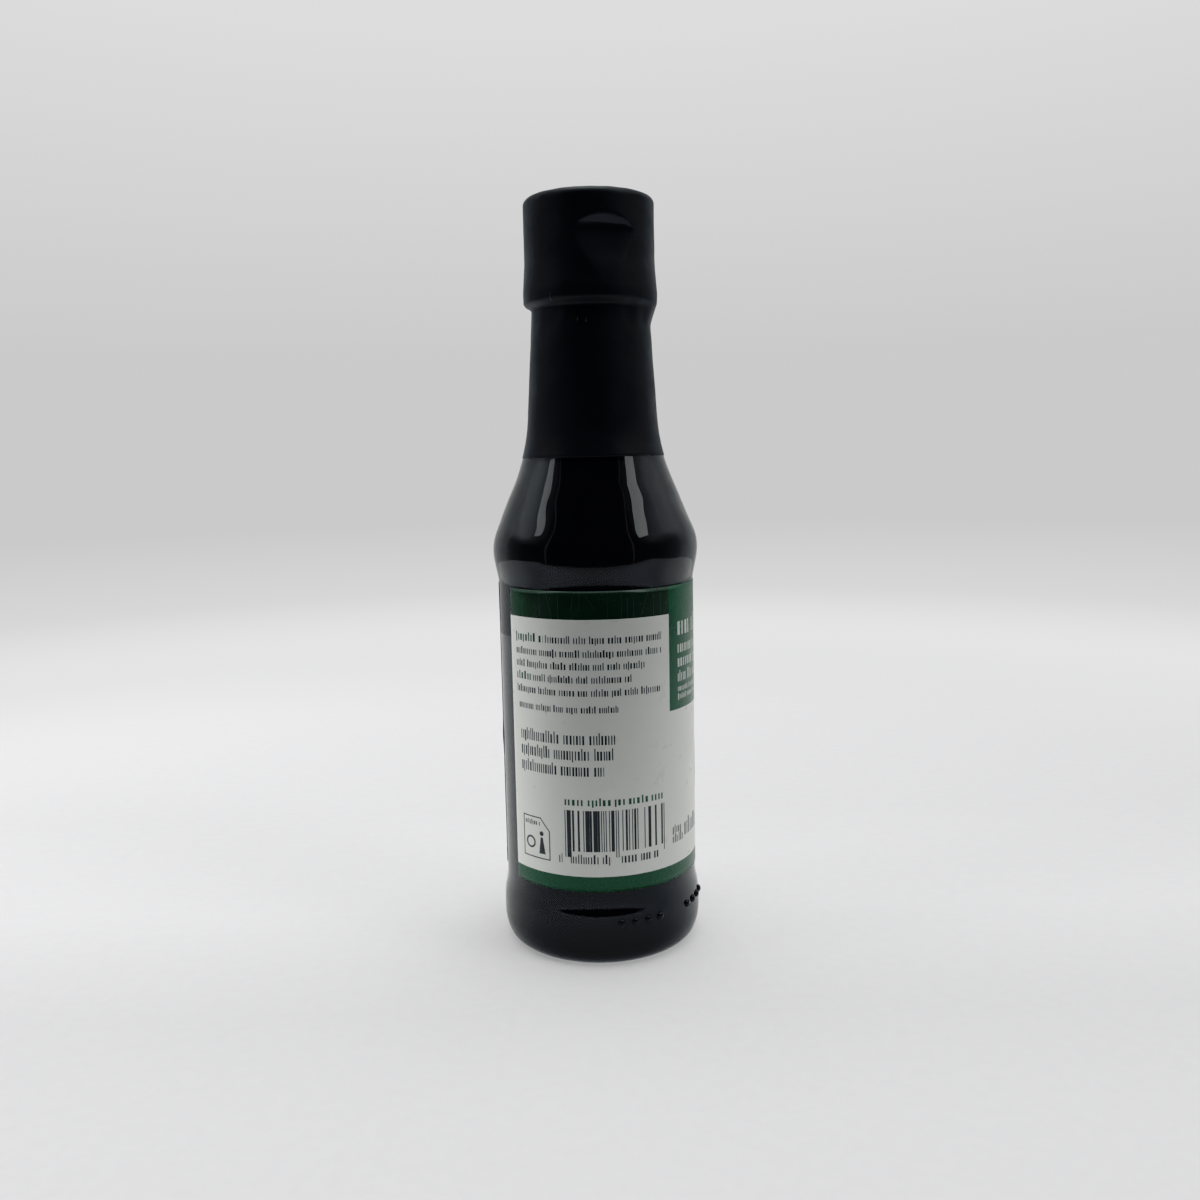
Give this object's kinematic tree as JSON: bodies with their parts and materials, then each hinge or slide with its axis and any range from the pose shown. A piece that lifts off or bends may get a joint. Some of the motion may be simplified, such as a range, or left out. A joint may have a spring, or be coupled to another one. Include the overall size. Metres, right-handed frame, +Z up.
{
  "type": "soy sauce bottle",
  "caption": "Shut glass bottle of dark sauce: round body with recessed wrap label, conical shoulder, tapered neck and cap under black shrink film.",
  "frame": {"origin": "centre of the foot, on the surface that the bottle stands on", "axes": "+Z up the bottle's axis; the label's back panel faces -Y and its front panel faces +X"},
  "size_m": [0.0471, 0.047, 0.1711],
  "materials": {
    "clear_glass": "clear, smooth, slightly wavy",
    "soy_sauce": "near-black liquid, red-brown where thin",
    "black_plastic": "moulded black plastic",
    "black_film": "satin black shrink film",
    "label_film": "printed plastic film in white and green, satin"
  },
  "bodies": {
    "root": {"glass_bottle": "clear_glass", "soy_sauce": "soy_sauce", "cap": "black_plastic", "shrink_sleeve": "black_film", "label": "label_film"}
  },
  "joints": []
}
